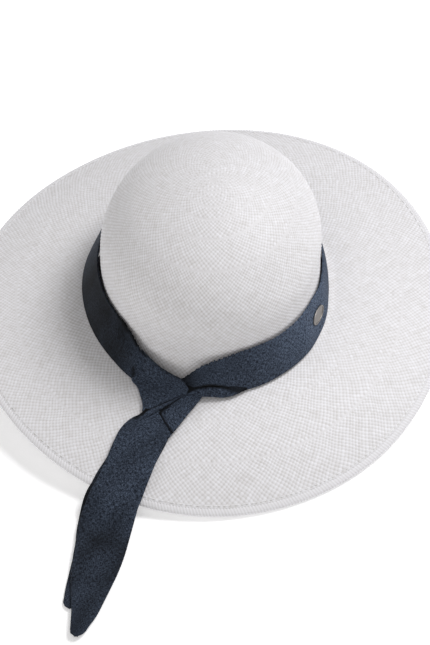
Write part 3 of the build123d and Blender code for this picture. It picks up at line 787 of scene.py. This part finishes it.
# (s, left side, right side), each side measured from the tail's middle line
FRONT_SIDES = [(-14, 11, 13.2), (-6, 11.2, 13.6), (0, 12.6, 15.3), (5, 16.3, 15.4), (10, 18.6, 14.4),
               (17, 20.2, 14.2), (27, 20.0, 14.6), (40, 19.0, 15.6), (53, 18.2, 16.6), (64, 18.3, 17.9),
               (72, 18.8, 18.7), (80, 19.6, 19), (88, 19.4, 18.9), (97, 18.4, 18.6), (111, 17.9, 17.2),
               (125, 16.8, 14.9), (138, 14.9, 12), (150, 12.6, 9.2), (160, 10.9, 6.6), (170, 9.8, 2.5),
               (174.5, 9.2, 0.6), (177, 8.2, -1.4), (FRONT_END, 6.2, -3.2)]
BACK_SIDES = [(-6, 10, 12), (0, 11.5, 13), (10, 16, 14.5), (22, 18.4, 15), (40, 18.2, 15.5),
              (52, 19.0, 16), (62, 18.7, 17), (72, 18.8, 17.5), (80, 17.9, 17.3), (86, 16.9, 17),
              (100, 14.4, 16), (128, 12.9, 13), (139, 12.6, 9.5), (147, 12, 5), (153, 11, 0),
              (155.8, 8.4, -4), (BACK_END, 7, -5.6)]


def tail_line(turn, s):
    """Points and headings of a tail's middle line: straight, an arc, straight."""
    first, last = math.radians(turn[0]), math.radians(turn[1])
    arc = (first - last) * BEND_RADIUS
    heading = first - np.clip(s - BRIM_RUN, 0, arc) / BEND_RADIUS
    start, end = np.minimum(s, BRIM_RUN), np.maximum(s - BRIM_RUN - arc, 0)
    x = (MOUTH_X - start * math.sin(first) - end * math.sin(last)
         - BEND_RADIUS * (np.cos(heading) - math.cos(first)))
    y = (MOUTH_Y - start * math.cos(first) - end * math.cos(last)
         - BEND_RADIUS * (math.sin(first) - np.sin(heading)))
    return x, y, heading


def lie_height(x, y):
    """Height of what a tail lies on: the brim, then the table beyond it."""
    low, high = np.full_like(x, -60.0), np.full_like(x, 300.0)
    for _ in range(36):  # halves the span in which the reach of (x, y) lies
        middle = 0.5 * (low + high)
        outside = (x / (WALL_X / MM + middle)) ** 2 + (y / (WALL_Y / MM + middle)) ** 2 > 1
        low, high = np.where(outside, middle, low), np.where(outside, high, middle)
    reach, edge = low, BRIM_REACH / MM
    angle = np.arctan2(y / (WALL_Y / MM + reach), x / (WALL_X / MM + reach))
    on_brim = brim_height(angle, np.minimum(reach, edge) * MM) / MM + TAIL_LIE
    fall = ease(reach, edge + 1.5, edge + DRAPE_REACH)
    return on_brim * (1 - fall) + (TABLE / MM + 0.3) * fall


def tail_stations(end, last, steps, tip_steps):
    """Values of s, closer together from last to the end, where the tip is rounded."""
    tip = end - (end - last) * np.linspace(1, 0, tip_steps)[1:] ** 1.6
    return np.append(np.linspace(TAIL_FROM, last, steps), tip)


def tail_grid(turn, sides, s, lift, ripple):
    """A tail's upper face, the shading painted on it, and each point's distance from the middle line."""
    v = np.linspace(0, 1, 25)[None] + 0 * s[:, None]
    s = s[:, None] + 0 * v
    both = bend(s, sides)
    side = both[..., 0] - (both[..., 0] + both[..., 1]) * v
    x, y, heading = tail_line(turn, s)
    x, y = x - side * np.cos(heading), y + side * np.sin(heading)
    wave = (np.sin(0.055 * s + 0.21 * side) * np.sin(np.pi * v) + 0.7 * np.sin(0.12 * s - 0.14 * side + 2)
            + 0.5 * np.sin(0.4 * side + 1) * np.exp(-s / 30)) * ease(s, -6, 14)
    puff = 0.6 * (1 - (2 * v - 1) ** 6)
    z = lie_height(x, y) + lift + TAIL + puff + ripple * (1 + wave)
    # Painted shadow from s 75 on, deepest near s 92, where the tail bends over the brim's edge; the tail is
    # also darker in slow waves across it.
    painted_light_and_shade = (0.3 * ease(s, 75, 95) + 0.25 * bump(s, 92 - 0.4 * side, 17)
            + 0.18 * np.sin(0.05 * s - 0.12 * side) ** 2)
    return np.stack([x, y, z], -1) * MM, painted_light_and_shade, side


def from_wrap(s, side):
    """Distance of a tail's points from the wrap's lower edge."""
    return 0.53 * (s[:, None] - 0.6) - 0.85 * (side - 11.4)


def front_tail():
    s = tail_stations(FRONT_END, 168, 150, 22)
    top, painted_light_and_shade, side = tail_grid(FRONT_TURN, FRONT_SIDES, s, TAIL_OVER, FRONT_RIPPLE)
    # Painted shadow along the wrap's lower edge, close to the knot.
    painted_light_and_shade = painted_light_and_shade + 0.7 * bump(from_wrap(s, side), 0, 1.3) * (s[:, None] < 6)
    return cloth_piece("tail_cloth_front", [shell(top, TAIL * MM, painted_shading=np.clip(painted_light_and_shade, 0, 0.9))])


def back_tail():
    s = tail_stations(BACK_END, 147, 120, 18)
    top = tail_grid(BACK_TURN, BACK_SIDES, s, 0.0, BACK_RIPPLE)[0]
    # Painted shadow over all of the back tail, deepest on the part that shows beside the front one.
    painted_light_and_shade = 0.35 + 0.5 * bump(s[:, None], 68, 16)
    return cloth_piece("tail_cloth_back", [shell(top, TAIL * MM, painted_shading=painted_light_and_shade)])


def tail_root():
    """The still part of the front tail under the knot, thinner towards its hidden start."""
    s = np.linspace(ROOT_FROM, ROOT_TO, 30)
    top, painted_light_and_shade, side = tail_grid(FRONT_TURN, FRONT_SIDES, s, TAIL_OVER, FRONT_RIPPLE)
    top[..., 2] += ROOT_LIFT * MM
    from_fold = side + 1.545 * s[:, None] + 11.2
    # Painted shadow along the fold's end edge and along the wrap's lower edge.
    painted_light_and_shade = painted_light_and_shade + 0.9 * ease(from_fold, 1.3, 0.4) + 0.85 * ease(from_wrap(s, side), 1.3, 0.4)
    thin = (0.25 + 0.6 * (1 - ease(s, -7, -3)))[:, None] * MM
    return cloth_piece("tail_root", [shell(top, thin, painted_shading=np.clip(painted_light_and_shade, 0, 0.9))], "hat")


def hang_tails(front, back):
    """Bakes both tails' placements into their meshes."""
    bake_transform(back)
    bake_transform(front)


# ---- pieces ----
def navy_material():
    """Chambray: two families of fine streaks along the yarns, darkened, or lightened below zero, by the
    painted shading attribute, and by wide patches of painted fold shading.
    """
    made, tree, shader = material("navy_chambray", 0.85, sheen=0.05)
    shader.inputs["Specular IOR Level"].default_value = 0.12
    uv = node(tree, "ShaderNodeUVMap", uv_map="cloth").outputs[0]
    streaks = []
    for stretch in ((430, 2400, 1), (2400, 430, 1)):
        mapped = node(tree, "ShaderNodeMapping", {"Vector": uv, "Scale": stretch}).outputs[0]
        noise = node(tree, "ShaderNodeTexNoise", {"Vector": mapped, "Scale": 1.0, "Detail": 2.0})
        streaks.append(noise.outputs[0])
    mixed = node(tree, "ShaderNodeMath", {0: streaks[0], 1: streaks[1]}, operation="MULTIPLY").outputs[0]
    ramp = node(tree, "ShaderNodeValToRGB", {"Fac": mixed})
    ramp.color_ramp.elements[0].position = 0.18
    ramp.color_ramp.elements[0].color = (0.004, 0.006, 0.012, 1)
    ramp.color_ramp.elements[1].position = 0.35
    ramp.color_ramp.elements[1].color = (0.068, 0.090, 0.130, 1)
    # Wide patches of painted fold shading, darker and lighter, added to the painted shading attribute; the
    # sum darkens the yarn colour.
    painted_fold_shading = node(tree, "ShaderNodeTexNoise", {"Vector": uv, "Scale": 55.0, "Detail": 2.0}).outputs[0]
    painted_fold_shading = node(tree, "ShaderNodeMapRange", {"Value": painted_fold_shading, "From Min": 0.3, "From Max": 0.7,
                                              "To Min": 0.14, "To Max": -0.14}).outputs[0]
    dim = node(tree, "ShaderNodeAttribute", attribute_name="painted_shading").outputs["Fac"]
    dim = node(tree, "ShaderNodeMath", {0: dim, 1: painted_fold_shading}, operation="ADD").outputs[0]
    keep = node(tree, "ShaderNodeMath", {0: 1.0, 1: dim}, operation="SUBTRACT").outputs[0]
    cloth = node(tree, "ShaderNodeVectorMath", {0: ramp.outputs["Color"], "Scale": keep}, operation="SCALE")
    tree.links.new(cloth.outputs[0], shader.inputs["Base Color"])
    bump = node(tree, "ShaderNodeBump", {"Height": mixed, "Strength": 0.5, "Distance": 0.0003})
    tree.links.new(bump.outputs[0], shader.inputs["Normal"])
    return made


def plain_cloth(name, colour, roughness=0.85):
    """Closely woven cloth or thread of one colour with a fine mottle."""
    made, tree, shader = material(name, roughness, sheen=0.15)
    place = node(tree, "ShaderNodeTexCoord").outputs["Object"]
    noise = node(tree, "ShaderNodeTexNoise", {"Vector": place, "Scale": 1400.0, "Detail": 2.0}).outputs[0]
    ramp = node(tree, "ShaderNodeValToRGB", {"Fac": noise})
    ramp.color_ramp.elements[0].position = 0.3
    ramp.color_ramp.elements[0].color = tuple(0.8 * c for c in colour) + (1,)
    ramp.color_ramp.elements[1].position = 0.7
    ramp.color_ramp.elements[1].color = tuple(colour) + (1,)
    tree.links.new(ramp.outputs["Color"], shader.inputs["Base Color"])
    return made


def metal(name, colour, roughness):
    made, tree, shader = material(name, roughness, metallic=1.0)
    place = node(tree, "ShaderNodeTexCoord").outputs["Object"]
    mapped = node(tree, "ShaderNodeMapping", {"Vector": place, "Scale": (900, 900, 6000)}).outputs[0]
    noise = node(tree, "ShaderNodeTexNoise", {"Vector": mapped, "Scale": 1.0}).outputs[0]
    worn = node(tree, "ShaderNodeMapRange", {"Value": noise, "To Min": roughness - 0.1,
                                             "To Max": roughness + 0.12}).outputs[0]
    tree.links.new(worn, shader.inputs["Roughness"])
    shader.inputs["Base Color"].default_value = tuple(colour) + (1,)
    return made


def finish_node(names, made):
    """Gives the CAD nodes a material."""
    for name in names:
        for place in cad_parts[name].material_slots:
            place.link = "OBJECT"
            place.material = made


straw, navy = straw_material(), navy_material()
crown, brim, edge = straw_crown(), straw_brim(), hem()
for piece in (crown, brim, edge):
    piece.data.materials.append(straw)
    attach(piece, "hat")
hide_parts("straw_body")
band = sash_band()
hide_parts("sash_band")
wrap, fold = knot_wrap(), knot_fold()
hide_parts("knot_wrap")
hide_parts("knot_fold")
front, back, root = front_tail(), back_tail(), tail_root()
hang_tails(front, back)
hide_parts("front_tail")
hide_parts("back_tail")
finish_node(["sweatband"], plain_cloth("lining", (0.72, 0.69, 0.62)))
finish_node(["sweatband_tab"], plain_cloth("lining_tab", (0.62, 0.58, 0.50)))
finish_node(["size_label"], plain_cloth("label", (0.82, 0.82, 0.80)))
finish_node(["hem_stitching", "sweatband_stitching"], plain_cloth("white_thread", (0.90, 0.90, 0.90)))
finish_node(["sash_tacks"], plain_cloth("navy_thread", (0.02, 0.03, 0.045)))
finish_node(["brim_wire", "badge_backing"], metal("steel_wire", (0.45, 0.45, 0.46), 0.35))
finish_node(["wire_joiner"], metal("brass", (0.62, 0.48, 0.24), 0.35))
finish_node(["badge_plate"], metal("badge_steel", (0.30, 0.285, 0.27), 0.35))


# ---- stage, light and camera ----
FLOOR_SIZE = 6
FLOOR_GAP = 0.5 * MM


def stage():
    """A pale floor under the hat in a plain white studio."""
    bpy.ops.mesh.primitive_plane_add(size=FLOOR_SIZE, location=(0, 0, TABLE - FLOOR_GAP))
    floor = bpy.context.object
    floor.name = "floor"
    made, tree, shader = material("pale_floor", 0.9)
    shader.inputs["Base Color"].default_value = (0.95, 0.95, 0.95, 1)
    shader.inputs["Emission Color"].default_value = (1, 1, 1, 1)
    shader.inputs["Emission Strength"].default_value = 0.3
    floor.data.materials.append(made)
    world = bpy.data.worlds.new("studio")
    bpy.context.scene.world = world
    world.use_nodes = True
    background = world.node_tree.nodes["Background"]
    background.inputs["Color"].default_value = (1, 1, 1, 1)
    background.inputs["Strength"].default_value = 0.31


def looking_in(name, data, azimuth, elevation, distance):
    """A light or camera that looks at the origin; azimuth 0 is on the -Y side."""
    made = bpy.data.objects.new(name, data)
    a, e = math.radians(azimuth), math.radians(elevation)
    back = Vector((math.sin(a) * math.cos(e), -math.cos(a) * math.cos(e), math.sin(e)))
    made.location = back * distance
    made.rotation_mode = "QUATERNION"
    made.rotation_quaternion = back.to_track_quat("Z", "Y")
    bpy.context.collection.objects.link(made)
    return made


def area_light(name, azimuth, elevation, distance, size, power, colour):
    data = bpy.data.lights.new(name, "AREA")
    data.size, data.energy, data.color = size, power, colour
    looking_in(name, data, azimuth, elevation, distance)


CAMERA_AZIMUTH = 4.25
CAMERA_ELEVATION = 46.33
CAMERA_DISTANCE = 1.695
LENS = 122.71
SENSOR = 36.0
SHIFT_X = 0.00845
SHIFT_Y = -0.06047


def camera():
    data = bpy.data.cameras.new("camera")
    data.lens, data.sensor_width = LENS, SENSOR
    data.shift_x, data.shift_y = SHIFT_X, SHIFT_Y
    bpy.context.scene.camera = looking_in("camera", data, CAMERA_AZIMUTH, CAMERA_ELEVATION,
                                          CAMERA_DISTANCE)


stage()
area_light("key", 124, 55, 2.2, 0.9, 38, (0.99, 0.985, 1.0))
area_light("front_fill", 0, 45, 2.4, 2.0, 11.5, (1.0, 0.97, 0.96))
area_light("side_fill", -65, 10, 2.4, 1.2, 10, (1.0, 0.975, 0.96))
camera()
bpy.context.scene.view_settings.view_transform = "Standard"
